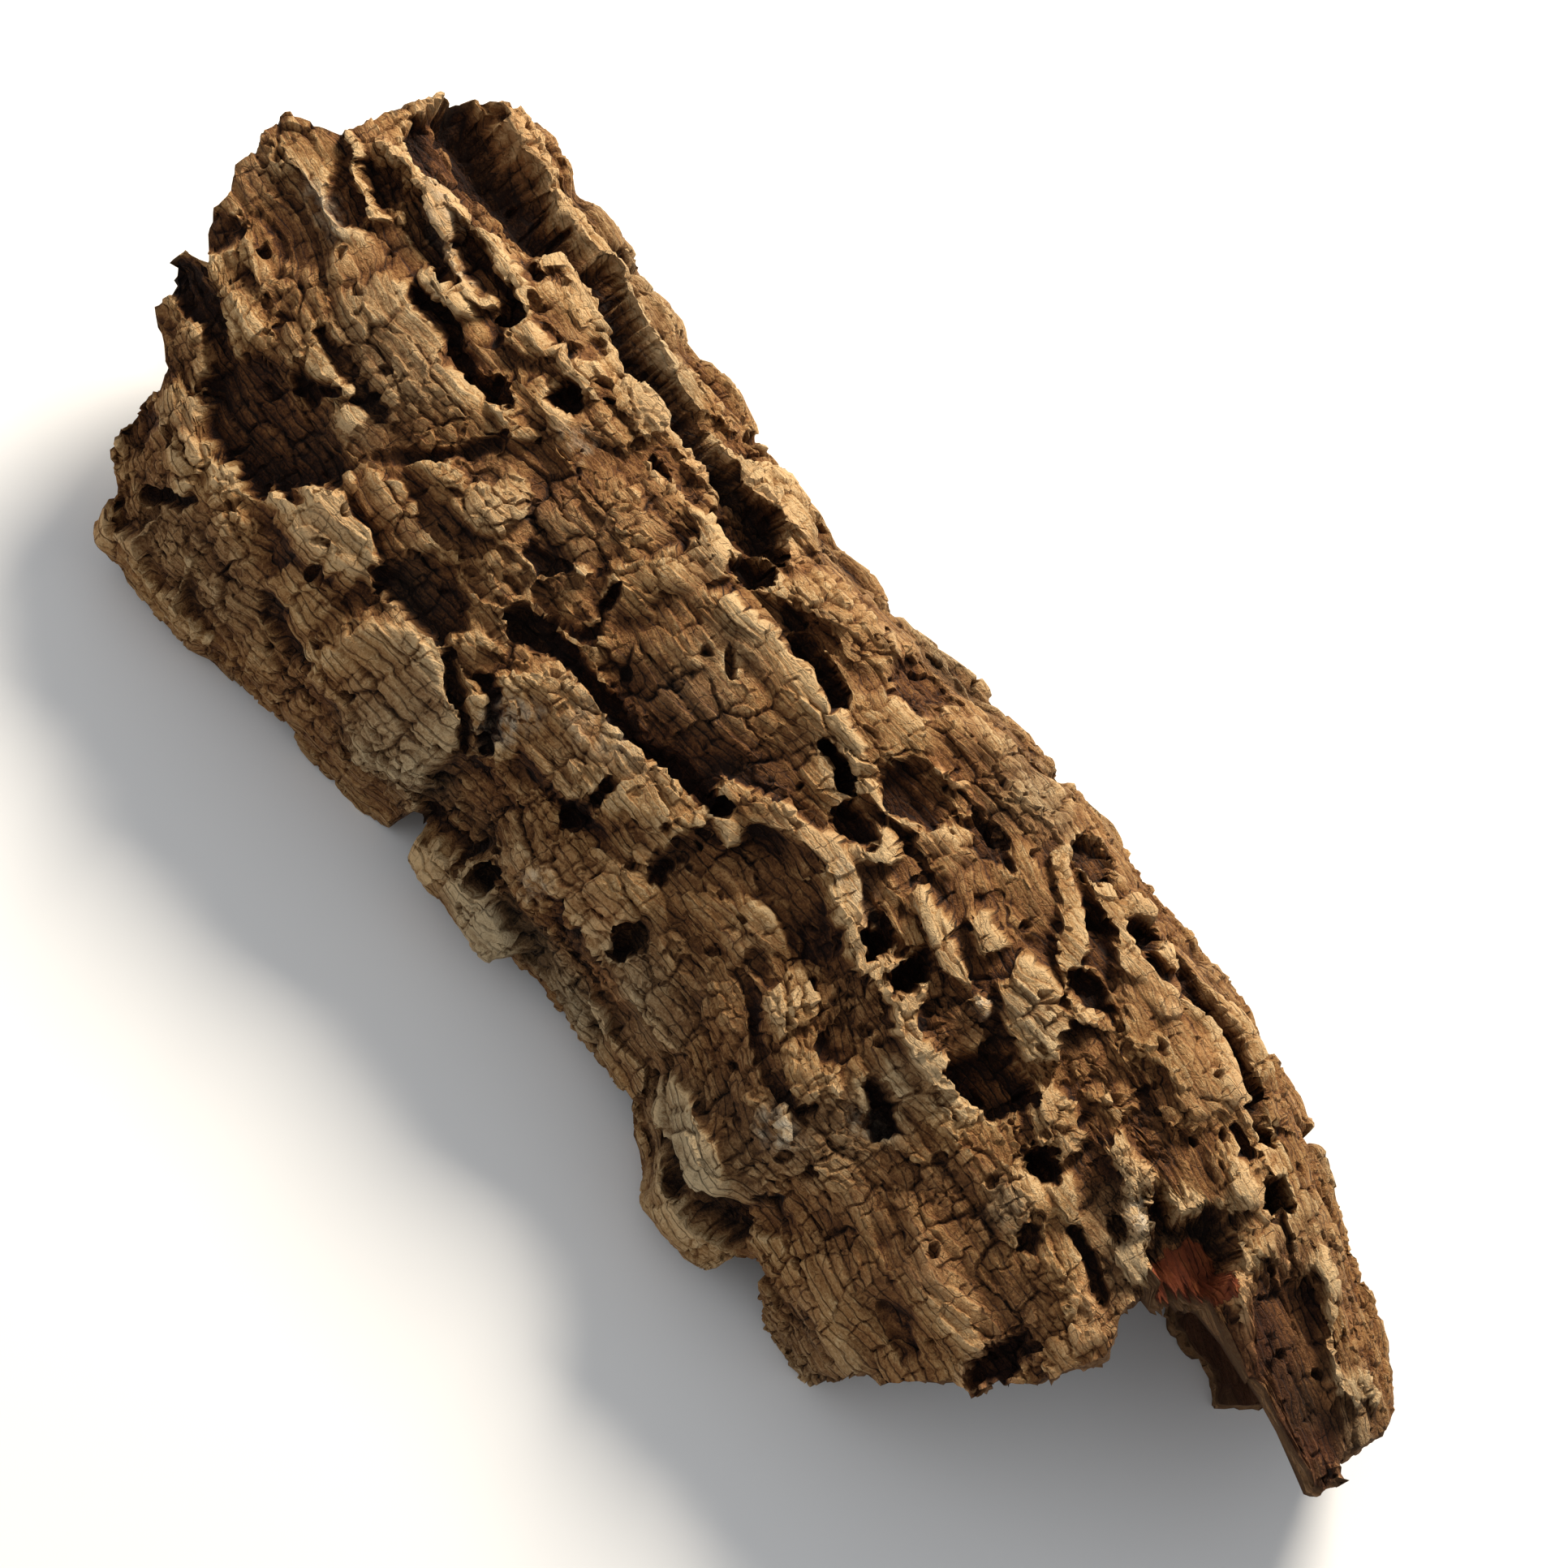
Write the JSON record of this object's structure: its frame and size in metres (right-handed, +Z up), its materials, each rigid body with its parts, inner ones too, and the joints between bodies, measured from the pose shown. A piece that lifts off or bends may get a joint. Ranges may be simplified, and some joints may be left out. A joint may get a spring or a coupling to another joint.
{
  "type": "piece of cork bark",
  "caption": "Half-round piece of virgin cork bark: a curved, deeply furrowed sheet with broken ends that lies arched on its two long edges.",
  "frame": {"origin": "centre of the bounding box in X and Y, on the floor plane that the bark's long edges rest on", "axes": "+X along the length of the bark, towards the narrow tongue at its broken far end; +Y across it, towards the wall that curls in under the arch; +Z up"},
  "size_m": [0.4394, 0.1909, 0.0865],
  "materials": {
    "cork": "rough, dry, matt bark in brown and tan with darker furrows"
  },
  "bodies": {
    "root": {"cork_bark": "cork"}
  },
  "joints": []
}
